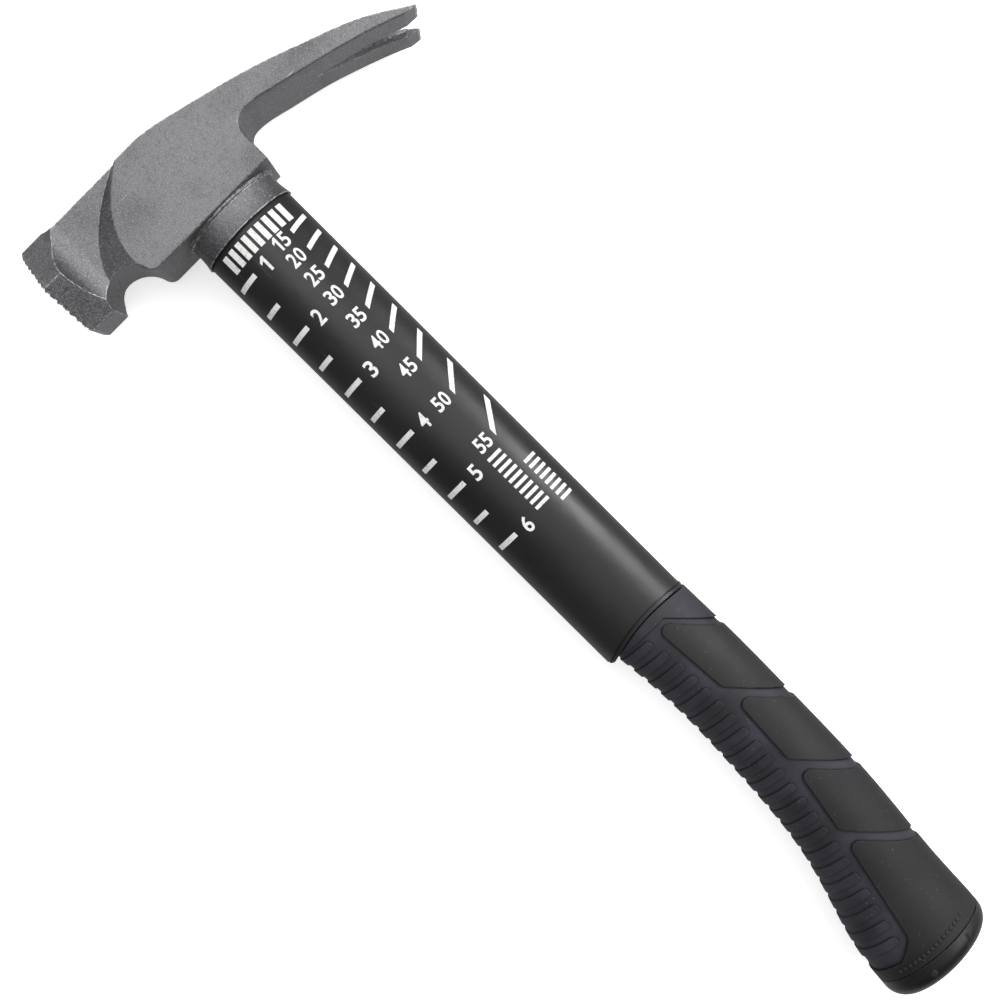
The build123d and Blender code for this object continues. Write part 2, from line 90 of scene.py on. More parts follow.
def put(
    tree: bpy.types.NodeTree,
    kind: str,
    settings: dict[str, Any] | None = None,
    inputs: dict[Any, Any] | None = None,
) -> bpy.types.Node:
    """Adds one node with its settings and its links.

    Args:
        tree: The tree the node goes into.
        kind: The node's type name.
        settings: Properties of the node.
        inputs: Input name or index to a value, to the output socket it is linked from, or to the
            node whose first live output it is linked from.

    Returns:
        The new node.
    """
    made = tree.nodes.new(kind)
    for key, value in (settings or {}).items():
        setattr(made, key, value)
    for key, value in (inputs or {}).items():
        if isinstance(value, bpy.types.Node):
            value = next(socket for socket in value.outputs if socket.enabled)
        if isinstance(value, bpy.types.NodeSocket):
            tree.links.new(value, made.inputs[key])
        else:
            made.inputs[key].default_value = value
    return made


# ---------------------------------------------------------------------------- finishes
@dataclass(frozen=True)
class Finish:
    """What every finish has: a name, and a tree of its own that ends in one Principled shader."""

    name: str

    def start(self) -> tuple[bpy.types.Material, bpy.types.NodeTree, bpy.types.NodeSocket]:
        """Makes the empty material.

        Returns:
            The material, its tree, and Object coordinates in metres.
        """
        material = bpy.data.materials.new(self.name)
        material.use_nodes = True
        tree = material.node_tree
        tree.nodes.clear()
        return material, tree, put(tree, "ShaderNodeTexCoord").outputs["Object"]

    def grain(self, tree: bpy.types.NodeTree, where: Any, size_mm: float, detail: float = 2.0,
              stretch: tuple[float, float, float] = (1, 1, 1), turn: float = 0.0) -> bpy.types.Node:
        """Noise whose features are size_mm across, about 0.5 in the middle.

        Args:
            tree: The tree it goes into.
            where: Coordinates in metres.
            size_mm: Feature size.
            detail: Octaves.
            stretch: Scale along each axis.
            turn: Angle of the stretch about Z, in radians.

        Returns:
            The noise node.
        """
        placed = put(tree, "ShaderNodeMapping", {}, {
            "Vector": where, "Rotation": (0, 0, turn), "Location": (turn, turn, 0), "Scale": stretch})
        return put(tree, "ShaderNodeTexNoise", {}, {
            "Vector": placed, "Scale": per_metre(size_mm), "Detail": detail})

    def patches(self, tree: bpy.types.NodeTree, where: Any, size_mm: float,
                edge: tuple[float, float], top: float = 1.0) -> bpy.types.Node:
        """A mask of irregular patches.

        Args:
            tree: The tree it goes into.
            where: Coordinates in metres.
            size_mm: Size of the patches.
            edge: Noise values where a patch starts and where it is full.
            top: The mask's value inside a patch.

        Returns:
            The mask's node.
        """
        return put(tree, "ShaderNodeMapRange", {"interpolation_type": "SMOOTHSTEP"}, {
            "Value": self.grain(tree, where, size_mm, 3), "From Min": edge[0], "From Max": edge[1],
            "To Max": top})

    def layer(self, tree: bpy.types.NodeTree, under: Any, colour: str, mask: Any,
              edge: tuple[float, float], share: Any = 1.0) -> bpy.types.Node:
        """Lays a colour over what is there already.

        Args:
            tree: The tree it goes into.
            under: The colour so far.
            colour: The new colour, in sRGB hex.
            mask: What decides where it lies.
            edge: The mask's values where the colour starts and where it is full.
            share: How much it covers where it is full: a number or a mask.

        Returns:
            The node of the colour so far.
        """
        cover = put(tree, "ShaderNodeMapRange", {"interpolation_type": "SMOOTHSTEP"}, {
            "Value": mask, "From Min": edge[0], "From Max": edge[1], "To Max": share})
        return put(tree, "ShaderNodeMix", {"data_type": "RGBA"}, {0: cover, 6: under, 7: linear(colour)})

    def rims(self, tree: bpy.types.NodeTree, radius_mm: float) -> bpy.types.Node:
        """How flat the surface is within radius_mm: 1 on open surfaces, less along edges.

        Args:
            tree: The tree it goes into.
            radius_mm: How far from an edge it reaches.

        Returns:
            The value's node.
        """
        soft = put(tree, "ShaderNodeBevel", {"samples": 6}, {"Radius": radius_mm * MM})
        flat = put(tree, "ShaderNodeNewGeometry").outputs["Normal"]
        return put(tree, "ShaderNodeVectorMath", {"operation": "DOT_PRODUCT"}, {0: soft, 1: flat})

    def uneven(self, tree: bpy.types.NodeTree, pattern: Any, low: float, high: float) -> bpy.types.Node:
        """Roughness that drifts between two values with a pattern.

        Args:
            tree: The tree it goes into.
            pattern: Noise, about 0.5 in the middle.
            low: Roughness where the noise is low.
            high: Roughness where the noise is high.

        Returns:
            The roughness's node.
        """
        return put(tree, "ShaderNodeMapRange", {}, {
            "Value": pattern, "From Min": 0.3, "From Max": 0.7, "To Min": low, "To Max": high})

    def relief(self, tree: bpy.types.NodeTree, height: Any, depth_mm: float,
               edge_mm: float) -> bpy.types.Node:
        """Fine relief on a surface whose edges are a little rounded.

        Args:
            tree: The tree it goes into.
            height: The pattern's height.
            depth_mm: Its depth.
            edge_mm: Radius of the edges.

        Returns:
            The normal's node.
        """
        soft = put(tree, "ShaderNodeBevel", {"samples": 6}, {"Radius": edge_mm * MM})
        return put(tree, "ShaderNodeBump", {}, {
            "Height": height, "Strength": 0.5, "Distance": depth_mm * MM, "Normal": soft})

    def close(self, tree: bpy.types.NodeTree, shader_inputs: dict[str, Any]) -> None:
        """Ends the tree in one Principled shader with these inputs."""
        shader = put(tree, "ShaderNodeBsdfPrincipled", {}, shader_inputs)
        put(tree, "ShaderNodeOutputMaterial", {}, {"Surface": shader})


@dataclass(frozen=True)
class BlastedTitanium(Finish):
    """Investment-cast titanium, grit-blasted.

    The casting gives tonal clouds and small pits, the blasting a grey without any mirror and a
    fine grain, and its edges are painted bright in broken lines, partly rubbed wear and partly a
    painted highlight; the hollows get painted shade. The real grit of about 0.1 mm is too fine to
    show, so the grain is drawn coarser.
    """

    name: str = "blasted_cast_titanium"
    cast: str = "#818184"
    flat: str = "#838386"
    stain: str = "#565658"
    # dark for the grit, and the painted shade in the hollows
    shade: str = "#303032"
    # pale for the grit, the rubbed scratches and the painted highlight along the edges
    rubbed: str = "#dcdcdc"
    grit_mm: float = 0.5
    pit_mm: float = 1.5
    cloud_mm: float = 22.0
    scratch_mm: float = 0.7
    scratch_patch_mm: float = 17.0
    rim_patch_mm: float = 1.3
    hollow_mm: float = 5.0
    edge_mm: float = 0.9
    roughness: tuple[float, float] = (0.42, 0.62)
    scratch_turns: tuple[float, ...] = (0.5, -0.9)

    def material(self) -> bpy.types.Material:
        """Makes the finish.

        Returns:
            The material.
        """
        material, tree, where = self.start()
        grit = self.grain(tree, where, self.grit_mm, 3)
        pits = self.grain(tree, where, self.pit_mm, 3)
        turned = put(tree, "ShaderNodeVectorMath", {"operation": "ABSOLUTE"}, {
            0: put(tree, "ShaderNodeNewGeometry").outputs["True Normal"]})
        facing = put(tree, "ShaderNodeSeparateXYZ", {}, {0: turned}).outputs["Z"]
        # the ground cheeks and claw sides are lighter than the rest of the casting
        body = self.layer(tree, linear(self.cast), self.flat, facing, (0.9, 0.985))
        body = self.layer(tree, body, self.stain, self.grain(tree, where, self.cloud_mm, 5),
                          (0.42, 0.72), 0.5)
        body = self.layer(tree, body, self.stain, pits, (0.5, 0.3), 0.3)
        body = self.layer(tree, body, self.shade, grit, (0.47, 0.28), 0.42)
        body = self.layer(tree, body, self.rubbed, grit, (0.52, 0.74), 0.4)
        # long fine scratches in two directions, here and there
        for turn in self.scratch_turns:
            lines = self.grain(tree, where, self.scratch_mm, 1, (1, 0.03, 1), turn)
            body = self.layer(tree, body, self.rubbed, lines, (0.72, 0.78),
                              self.patches(tree, where, self.scratch_patch_mm, (0.52, 0.62), 0.6))
        # edges are painted bright in broken lines, partly rubbed wear and partly a painted highlight
        body = self.layer(tree, body, self.rubbed, self.rims(tree, self.edge_mm), (0.99, 0.9),
                          self.patches(tree, where, self.rim_patch_mm, (0.42, 0.56), 0.95))
        # painted shade: hollows are darkened where ambient occlusion finds them
        painted_hollow_shade = put(tree, "ShaderNodeAmbientOcclusion", {"samples": 6}, {
            "Distance": self.hollow_mm * MM})
        body = self.layer(tree, body, self.shade, painted_hollow_shade.outputs["AO"], (0.9, 0.4), 0.5)
        height = put(tree, "ShaderNodeMath", {"operation": "MULTIPLY_ADD"}, {0: pits, 1: 0.8, 2: grit})
        self.close(tree, {"Base Color": body, "Metallic": 1.0,
                          "Roughness": self.uneven(tree, grit, *self.roughness),
                          "Normal": self.relief(tree, height, 0.2, 0.35)})
        return material


@dataclass(frozen=True)
class MouldedPolymer(Finish):
    """Black engineering plastic from a polished mould.

    The mould gives a satin skin with a faint ripple, and handling leaves paler patches and hair
    scuffs along the handle.
    """

    name: str = "satin_moulded_polymer"
    body: str = "#0c0c0d"
    handled: str = "#1b1b1c"
    scuff: str = "#4a4a4c"
    roughness: tuple[float, float] = (0.32, 0.45)
    ripple_mm: float = 7.0
    handled_mm: float = 30.0
    hair_mm: float = 1.0
    scuff_patch_mm: float = 26.0

    def material(self) -> bpy.types.Material:
        """Makes the finish.

        Returns:
            The material.
        """
        material, tree, where = self.start()
        handling = self.grain(tree, where, self.handled_mm, 4, (0.5, 1, 1))
        hairs = self.grain(tree, where, self.hair_mm, 1, (0.06, 1, 1))
        body = self.layer(tree, linear(self.body), self.handled, handling, (0.45, 0.7), 0.5)
        body = self.layer(tree, body, self.scuff, hairs, (0.7, 0.78),
                          self.patches(tree, where, self.scuff_patch_mm, (0.5, 0.6), 0.5))
        ripple = self.grain(tree, where, self.ripple_mm, 4)
        self.close(tree, {"Base Color": body, "IOR": 1.5,
                          "Roughness": self.uneven(tree, handling, *self.roughness),
                          "Normal": self.relief(tree, ripple, 0.14, 0.2)})
        return material


@dataclass(frozen=True)
class MouldedRubber(Finish):
    """Moulded thermoplastic rubber.

    Its skin is nearly black with a soft sheen and a slow bloom, its rims are pale from dust and a
    painted highlight, the feet of ribs and panels get painted shade, and it holds specks of dust.
    """

    name: str = "moulded_rubber"
    body: str = "#1f1d24"
    bloom: str = "#34303c"
    dust: str = "#98959c"
    # pale rims: partly dust, partly a painted highlight
    rim: str = "#55525c"
    # near-black painted shade at the feet of ribs and panels
    foot: str = "#020203"
    roughness: tuple[float, float] = (0.58, 0.72)
    dust_share: float = 0.6
    rim_share: float = 0.55
    edge_mm: float = 0.35
    foot_mm: float = 1.4
    dust_mm: float = 1.3
    bloom_mm: float = 14.0
    rim_patch_mm: float = 2.2
    skin_mm: float = 0.6
    relief_mm: float = 0.05

    def material(self) -> bpy.types.Material:
        """Makes the finish.

        Returns:
            The material.
        """
        material, tree, where = self.start()
        bloom = self.grain(tree, where, self.bloom_mm, 4)
        body = self.layer(tree, linear(self.body), self.bloom, bloom, (0.35, 0.7))
        cells = put(tree, "ShaderNodeTexVoronoi", {}, {
            "Vector": where, "Scale": per_metre(self.dust_mm)})
        # only a few of the cells hold a speck, each a few tenths of a millimetre
        chosen = put(tree, "ShaderNodeSeparateColor", {}, {0: cells.outputs["Color"]})
        held = put(tree, "ShaderNodeMapRange", {}, {
            "Value": chosen, "From Min": 0.8, "From Max": 1.0, "To Max": self.dust_share})
        body = self.layer(tree, body, self.dust, cells.outputs["Distance"], (0.17, 0.08), held)
        # rims are painted pale, partly dust and partly a painted highlight
        body = self.layer(tree, body, self.rim, self.rims(tree, self.edge_mm), (0.99, 0.8),
                          self.patches(tree, where, self.rim_patch_mm, (0.3, 0.6), self.rim_share))
        # painted shade at the feet of ribs and panels, where ambient occlusion finds them
        painted_hollow_shade = put(tree, "ShaderNodeAmbientOcclusion", {"samples": 8}, {
            "Distance": self.foot_mm * MM})
        body = self.layer(tree, body, self.foot, painted_hollow_shade.outputs["AO"], (0.97, 0.6), 0.95)
        skin = self.grain(tree, where, self.skin_mm, 3)
        self.close(tree, {"Base Color": body, "IOR": 1.5,
                          "Roughness": self.uneven(tree, bloom, *self.roughness),
                          "Normal": self.relief(tree, skin, self.relief_mm, self.edge_mm)})
        return material


@dataclass(frozen=True)
class PrintInk(Finish):
    """Screen-printed white ink: opaque, thin and satin, a little worn through in places."""

    name: str = "screen_print_ink"
    body: str = "#f1f1ef"
    thin: str = "#c8c8c8"
    wear_mm: float = 1.1
    mesh_mm: float = 0.4

    def material(self) -> bpy.types.Material:
        """Makes the finish.

        Returns:
            The material.
        """
        material, tree, where = self.start()
        wear = self.grain(tree, where, self.wear_mm, 4)
        body = self.layer(tree, linear(self.body), self.thin, wear, (0.5, 0.75))
        weave = self.grain(tree, where, self.mesh_mm)
        self.close(tree, {"Base Color": body, "Roughness": self.uneven(tree, wear, 0.45, 0.55),
                          "Normal": self.relief(tree, weave, 0.012, 0.02)})
        return material


@dataclass(frozen=True)
class PlatedMetal(Finish):
    """Nickel plating on a sintered magnet: bright, with the slight haze of a barrel-plated part."""

    name: str = "nickel_plating"
    body: str = "#c9c5bd"
    haze: str = "#a9a59c"
    haze_mm: float = 1.5

    def material(self) -> bpy.types.Material:
        """Makes the finish.

        Returns:
            The material.
        """
        material, tree, where = self.start()
        haze = self.grain(tree, where, self.haze_mm, 4)
        body = self.layer(tree, linear(self.body), self.haze, haze, (0.4, 0.7))
        self.close(tree, {"Base Color": body, "Metallic": 1.0,
                          "Roughness": self.uneven(tree, haze, 0.22, 0.34)})
        return material


@dataclass(frozen=True)
class PultrudedFibreglass(Finish):
    """Glass rovings in resin, pulled through a die: straw coloured, strands along the handle."""

    name: str = "pultruded_fibreglass"
    body: str = "#b9ab7c"
    strand: str = "#d8cfa8"
    strand_mm: float = 0.8

    def material(self) -> bpy.types.Material:
        """Makes the finish.

        Returns:
            The material.
        """
        material, tree, where = self.start()
        strands = self.grain(tree, where, self.strand_mm, 3, (0.02, 1, 1))
        body = self.layer(tree, linear(self.body), self.strand, strands, (0.4, 0.65))
        self.close(tree, {"Base Color": body, "Roughness": self.uneven(tree, strands, 0.3, 0.4),
                          "IOR": 1.54, "Normal": self.relief(tree, strands, 0.04, 0.1)})
        return material


@dataclass(frozen=True)
class CastEpoxy(Finish):
    """Two-part epoxy that set in the socket: amber and cloudy, glossy where it shows."""

    name: str = "cast_epoxy"
    body: str = "#7a6231"
    cloud: str = "#9b8450"
    cloud_mm: float = 3.0

    def material(self) -> bpy.types.Material:
        """Makes the finish.

        Returns:
            The material.
        """
        material, tree, where = self.start()
        clouds = self.grain(tree, where, self.cloud_mm, 4)
        body = self.layer(tree, linear(self.body), self.cloud, clouds, (0.4, 0.7))
        self.close(tree, {"Base Color": body, "Roughness": self.uneven(tree, clouds, 0.25, 0.4),
                          "IOR": 1.55})
        return material


# ---------------------------------------------------------------------------- pieces
def dress(piece: bpy.types.Object, material: bpy.types.Material) -> None:
    """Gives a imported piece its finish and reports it.

    Args:
        piece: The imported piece.
        material: The finish.
    """
    piece.data.materials.clear()
    piece.data.materials.append(material)
    LOG.info("dressed %s in %s", piece.name, material.name)


def place(name: str, mesh: bpy.types.Mesh) -> None:
    """Puts a finished mesh in the scene as a piece that rides on the hammer.

    Args:
        name: The piece's name.
        mesh: Its mesh, already in place.
    """
    mesh.name = name
    piece = bpy.data.objects.new(name, mesh)
    bpy.context.scene.collection.objects.link(piece)
    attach(piece, "root")
    LOG.info("built %s with %d faces", name, len(mesh.polygons))


def new_tree(name: str, sockets: dict[str, str]) -> tuple[bpy.types.GeometryNodeTree, Any]:
    """Starts a Geometry Nodes tree with named inputs.

    Args:
        name: The tree's name.
        sockets: Input name to the kind of socket.

    Returns:
        The tree and the outputs of its input node.
    """
    tree = bpy.data.node_groups.new(name, "GeometryNodeTree")
    for label, kind in sockets.items():
        tree.interface.new_socket(label, in_out="INPUT", socket_type=f"NodeSocket{kind}")
    tree.interface.new_socket("Geometry", in_out="OUTPUT", socket_type="NodeSocketGeometry")
    return tree, put(tree, "NodeGroupInput").outputs


def run_tree(tree: bpy.types.GeometryNodeTree, sizes: dict[str, Any]) -> bpy.types.Mesh:
    """Runs a Geometry Nodes tree once and keeps what it makes.

    Args:
        tree: The tree.
        sizes: Input name to value.

    Returns:
        A plain mesh.
    """
    base = bpy.data.objects.new("base", bpy.data.meshes.new("base"))
    bpy.context.scene.collection.objects.link(base)
    grown = base.modifiers.new("grown", "NODES")
    grown.node_group = tree
    for item in tree.interface.items_tree:
        if item.in_out == "INPUT" and item.name in sizes:
            grown[item.identifier] = sizes[item.name]
    seen = base.evaluated_get(bpy.context.evaluated_depsgraph_get())
    mesh = bpy.data.meshes.new_from_object(seen)
    base.modifiers.clear()
    bpy.data.objects.remove(base)
    return mesh


# ---------------------------------------------------------------------------- sub-assemblies
@dataclass
class HammerHead:
    """The cast head with its nail magnet."""

    nodes: Nodes
    metal: BlastedTitanium = field(default_factory=BlastedTitanium)
    plating: PlatedMetal = field(default_factory=PlatedMetal)

    def build(self) -> None:
        """Dresses the casting and the magnet."""
        dress(self.nodes["hammer_head"], self.metal.material())
        dress(self.nodes["nail_magnet"], self.plating.material())


@dataclass
class Shaft:
    """The hidden core and its bond, the seal and the moulded sleeve."""

    nodes: Nodes
    fibre: PultrudedFibreglass = field(default_factory=PultrudedFibreglass)
    bond: CastEpoxy = field(default_factory=CastEpoxy)
    seal: MouldedRubber = MouldedRubber("seal_rubber", body="#0b0b0b", bloom="#121212", dust_share=0.1)
    polymer: MouldedPolymer = field(default_factory=MouldedPolymer)

    def build(self) -> None:
        """Dresses each piece of the shaft."""
        dress(self.nodes["handle_core"], self.fibre.material())
        dress(self.nodes["epoxy_bond"], self.bond.material())
        dress(self.nodes["collar_seal"], self.seal.material())
        dress(self.nodes["handle_sleeve"], self.polymer.material())


@dataclass
class Grip:
    """The two-level rubber grip and the butt cap."""

    nodes: Nodes
    panels: int = 4
    ribbed: MouldedRubber = MouldedRubber("ribbed_grip_rubber")
    smooth: MouldedRubber = MouldedRubber(
        "smooth_panel_rubber", body="#0c0b0d", bloom="#161519", roughness=(0.54, 0.68),
        dust_share=0.4, edge_mm=0.5, foot_mm=1.0, relief_mm=0.04)
    cap: MouldedRubber = MouldedRubber(
        "butt_cap_rubber", body="#080809", bloom="#101012", roughness=(0.36, 0.48),
        dust_share=0.3, edge_mm=0.4, foot_mm=1.0, relief_mm=0.03)

    def build(self) -> None:
        """Dresses each piece of the grip."""
        dress(self.nodes["grip_base"], self.ribbed.material())
        panel_finish = self.smooth.material()
        for number in range(1, self.panels + 1):
            dress(self.nodes[f"grip_panel_{number}"], panel_finish)
        dress(self.nodes["butt_cap"], self.cap.material())


@dataclass
class PrintedScale:
    """The inch rule and the nail-angle scale, printed on the sleeve's near side. In millimetres."""

    slot: str = "sleeve_polymer"
    half_width: float = 19.2
    half_thickness: float = 12.0
    ink: float = 0.05
    lift: float = 0.02
    # inch rule
    inch: float = 25.4
    zero: float = -1.2
    inches: int = 6
    mark_width: float = 1.95
    whole: tuple[float, float] = (-17.2, -9.5)
    half: tuple[float, float] = (-17.1, -11.1)
    inch_label: tuple[float, float, float] = (-4.3, 6.2, 3.3)
    inch_label_shift: float = 0.2
    # nail-angle scale
    angle_first: float = 15.0
    angle_step: float = 5.0
    angle_count: int = 9
    angle_band: tuple[float, float] = (10.0, 17.3)
    angle_width: float = 1.8
    claw_tip_y: float = 94.4
    angle_label: tuple[float, float, float] = (4.8, 5.7, 2.75)
    angle_label_x: tuple[float, ...] = (22.7, 30.2, 39.0, 48.3, 59.2, 70.2, 83.8, 100.3, 120.6)
    # digits
    one_share: float = 0.72
    digit_gap: float = 0.45
    digit_strip: float = 0.7
    stroke_swell: float = 0.02
    one_outline: tuple[tuple[float, float], ...] = (
        (0.22, 0), (0.4, 0), (0.4, 1), (0.27, 1), (0, 0.76), (0, 0.58), (0.22, 0.74))
    # plain blocks
    collar_block: tuple[float, float, float, float] = (12.2, 19.3, -14.6, 14.6)
    collar_bars: int = 9
    bar_share: float = 0.64
    middle_block: tuple[float, float, float, float] = (125.8, 151.0, 1.6, 7.6)
    upper_block: tuple[float, float, float, float] = (135.0, 156.8, 10.3, 15.2)
    stripe: float = 1.3

    def bars_tree(self) -> bpy.types.GeometryNodeTree:
        """Plans a row of printed bars that fan out from a point and follow the sleeve's oval.

        Returns:
            The node tree.
        """
        tree, given = new_tree("printed_bars", {
            "Count": "Int", "Start": "Vector", "Step": "Vector", "Bar Size": "Vector",
            "First Angle": "Float", "Angle Step": "Float", "Apex Distance": "Float",
            "Half Width": "Float", "Half Thickness": "Float", "Lift": "Float", "Ink": "Material"})
        here = put(tree, "GeometryNodeInputPosition")
        line = put(tree, "GeometryNodeMeshLine", {}, {
            "Count": given["Count"], "Start Location": given["Start"], "Offset": given["Step"]})
        angle = put(tree, "ShaderNodeMath", {"operation": "MULTIPLY_ADD"}, {
            0: put(tree, "GeometryNodeInputIndex"), 1: given["Angle Step"], 2: given["First Angle"]})
        marked = put(tree, "GeometryNodeStoreNamedAttribute", {"data_type": "FLOAT", "domain": "POINT"}, {
            "Geometry": line, "Name": "bar_angle", "Value": angle})
        # each bar keeps its own x and y, so that it can lean once the bars are in a row
        bar = put(tree, "GeometryNodeMeshCube", {}, {
            "Size": given["Bar Size"], "Vertices X": 3, "Vertices Y": 13, "Vertices Z": 2})
        kept = put(tree, "GeometryNodeStoreNamedAttribute", {
            "data_type": "FLOAT_VECTOR", "domain": "POINT"}, {
            "Geometry": bar.outputs["Mesh"], "Name": "bar_place", "Value": here})
        row = put(tree, "GeometryNodeInstanceOnPoints", {}, {"Points": marked, "Instance": kept})
        real = put(tree, "GeometryNodeRealizeInstances", {}, {"Geometry": row})
        lean = put(tree, "GeometryNodeInputNamedAttribute", {"data_type": "FLOAT"}, {"Name": "bar_angle"})
        stored = put(tree, "GeometryNodeInputNamedAttribute", {"data_type": "FLOAT_VECTOR"}, {
            "Name": "bar_place"})
        own = put(tree, "ShaderNodeSeparateXYZ", {}, {0: stored})
        # across the lean a bar keeps its width, along it every bar points at the claw's tip
        slope = put(tree, "ShaderNodeMath", {"operation": "TANGENT"}, {0: lean})
        narrow = put(tree, "ShaderNodeMath", {"operation": "COSINE"}, {0: lean})
        wide = put(tree, "ShaderNodeMath", {"operation": "DIVIDE"}, {0: own.outputs["X"], 1: narrow})
        extra = put(tree, "ShaderNodeMath", {"operation": "SUBTRACT"}, {0: wide, 1: own.outputs["X"]})
        reach = put(tree, "ShaderNodeMath", {"operation": "SUBTRACT"}, {
            0: given["Apex Distance"], 1: own.outputs["Y"]})
        shift = put(tree, "ShaderNodeMath", {"operation": "MULTIPLY_ADD"}, {0: reach, 1: slope, 2: extra})
        # height of the oval over the bar's place
        across = put(tree, "ShaderNodeMath", {"operation": "DIVIDE"}, {
            0: put(tree, "ShaderNodeSeparateXYZ", {}, {0: here}).outputs["Y"], 1: given["Half Width"]})
        square = put(tree, "ShaderNodeMath", {"operation": "MULTIPLY"}, {0: across, 1: across})
        rest = put(tree, "ShaderNodeMath", {"operation": "SUBTRACT"}, {0: 1.0, 1: square})
        root = put(tree, "ShaderNodeMath", {"operation": "SQRT"}, {0: rest})
        level = put(tree, "ShaderNodeMath", {"operation": "MULTIPLY_ADD"}, {
            0: root, 1: given["Half Thickness"], 2: given["Lift"]})
        laid = put(tree, "GeometryNodeSetPosition", {}, {"Geometry": real, "Offset": put(
            tree, "ShaderNodeCombineXYZ", {}, {"X": shift, "Z": level})})
        inked = put(tree, "GeometryNodeSetMaterial", {}, {"Geometry": laid, "Material": given["Ink"]})
        put(tree, "NodeGroupOutput", {}, {"Geometry": inked})
        return tree

    def bars(self, tree: bpy.types.GeometryNodeTree, count: int, start: tuple[float, float],
             step: tuple[float, float], size: tuple[float, float], ink: bpy.types.Material,
             fan: dict[str, float] | None = None) -> bpy.types.Mesh:
        """Makes one row of bars.

        Args:
            tree: The tree from bars_tree.
            count: How many bars.
            start: Place of the first bar.
            step: From one bar to the next.
            size: Width and length of a bar.
            ink: The ink's material.
            fan: Inputs that make the bars fan out, if they do.

        Returns:
            A plain mesh.
        """
        straight = {"First Angle": 0.0, "Angle Step": 0.0, "Apex Distance": 0.0}
        return run_tree(tree, {
            **straight, **(fan or {}), "Count": count, "Ink": ink,
            "Start": (start[0] * MM, start[1] * MM, 0.0), "Step": (step[0] * MM, step[1] * MM, 0.0),
            "Bar Size": (size[0] * MM, size[1] * MM, self.ink * MM),
            "Half Width": self.half_width * MM, "Half Thickness": self.half_thickness * MM,
            "Lift": (self.lift + self.ink / 2) * MM})

    def ticks(self, tree: bpy.types.GeometryNodeTree, kind: TickKind,
              ink: bpy.types.Material) -> bpy.types.Mesh:
        """Makes the whole-inch or the half-inch marks.

        Args:
            tree: The tree from bars_tree.
            kind: Which marks.
            ink: The ink's material.

        Returns:
            The marks' mesh.
        """
        is_whole = kind is TickKind.WHOLE
        low, high = self.whole if is_whole else self.half
        first = self.zero + self.inch * (1 if is_whole else 1.5)
        return self.bars(tree, self.inches if is_whole else self.inches - 1, (first, (low + high) / 2),
                         (self.inch, 0), (self.mark_width, high - low), ink)

    def angle_marks(self, tree: bpy.types.GeometryNodeTree, ink: bpy.types.Material) -> bpy.types.Mesh:
        """Makes the nail-angle marks, which all point at the claw's tip.

        Args:
            tree: The tree from bars_tree.
            ink: The ink's material.

        Returns:
            The marks' mesh.
        """
        low, high = self.angle_band
        middle = (low + high) / 2
        fan = {"First Angle": math.radians(self.angle_first),
               "Angle Step": math.radians(self.angle_step),
               "Apex Distance": (self.claw_tip_y - middle) * MM}
        return self.bars(tree, self.angle_count, (0, middle), (0, 0),
                         (self.angle_width, high - low), ink, fan)

    def block(self, tree: bpy.types.GeometryNodeTree, box: tuple[float, float, float, float],
              ink: bpy.types.Material) -> bpy.types.Mesh:
        """Makes a plain striped block.

        Args:
            tree: The tree from bars_tree.
            box: Its ends along the handle, then its ends across it.
            ink: The ink's material.

        Returns:
            The block's mesh.
        """
        count = int((box[1] - box[0] + self.stripe) / (2 * self.stripe))
        return self.bars(tree, count, (box[0] + self.stripe / 2, (box[2] + box[3]) / 2),
                         (2 * self.stripe, 0), (self.stripe, box[3] - box[2]), ink)

    def collar_band(self, tree: bpy.types.GeometryNodeTree, ink: bpy.types.Material) -> bpy.types.Mesh:
        """Makes the plain row of bars beside the collar.

        Args:
            tree: The tree from bars_tree.
            ink: The ink's material.

        Returns:
            The row's mesh.
        """
        box = self.collar_block
        step = (box[3] - box[2]) / self.collar_bars
        return self.bars(tree, self.collar_bars, ((box[0] + box[1]) / 2, box[2] + step / 2),
                         (0, step), (box[1] - box[0], step * self.bar_share), ink)

    def level(self, y: float) -> float:
        """Height of the sleeve's surface at y."""
        return self.half_thickness * math.sqrt(1 - (y / self.half_width) ** 2)

    def flat_digit(self, digit: str) -> bmesh.types.BMesh:
        """Makes one digit as a thick plate, before it is sized and laid on the sleeve.

        Args:
            digit: The digit.

        Returns:
            Its mesh, upright along +Y.
        """
        shape = bmesh.new()
        if digit == "1":
            face = shape.faces.new([shape.verts.new((x, y, 0)) for x, y in self.one_outline])
            thick = bmesh.ops.extrude_face_region(shape, geom=[face])["geom"]
            top = [part for part in thick if isinstance(part, bmesh.types.BMVert)]
            bmesh.ops.translate(shape, vec=(0, 0, 1), verts=top)
            return shape
        curve = bpy.data.curves.new("digit", "FONT")
        curve.body = digit
        curve.extrude = 0.5
        curve.resolution_u = 4
        curve.offset = self.stroke_swell
        drawn = bpy.data.objects.new("digit", curve)
        bpy.context.scene.collection.objects.link(drawn)
        mesh = bpy.data.meshes.new_from_object(drawn)
        bpy.data.objects.remove(drawn)
        shape.from_mesh(mesh)
        bpy.data.meshes.remove(mesh)
        bmesh.ops.remove_doubles(shape, verts=shape.verts, dist=1e-5)
        return shape

    def digit(self, digit: str, x: float, y: float, height: float, width: float) -> bmesh.types.BMesh:
        """Makes one printed digit, its top towards the head and read towards the claw.

        Args:
            digit: The digit.
            x: Its middle along the handle.
            y: Its middle across the handle.
            height: Its height.
            width: Its width.

        Returns:
            Its mesh in metres, laid on the sleeve.
        """
        shape = self.flat_digit(digit)
        low = Vector(min(v.co[i] for v in shape.verts) for i in range(3))
        high = Vector(max(v.co[i] for v in shape.verts) for i in range(3))
        middle, span = (low + high) / 2, high - low
        for vert in shape.verts:
            share = [(vert.co[i] - middle[i]) / span[i] for i in range(3)]
            vert.co = Vector((x - share[1] * height, y + share[0] * width, share[2] * self.ink))
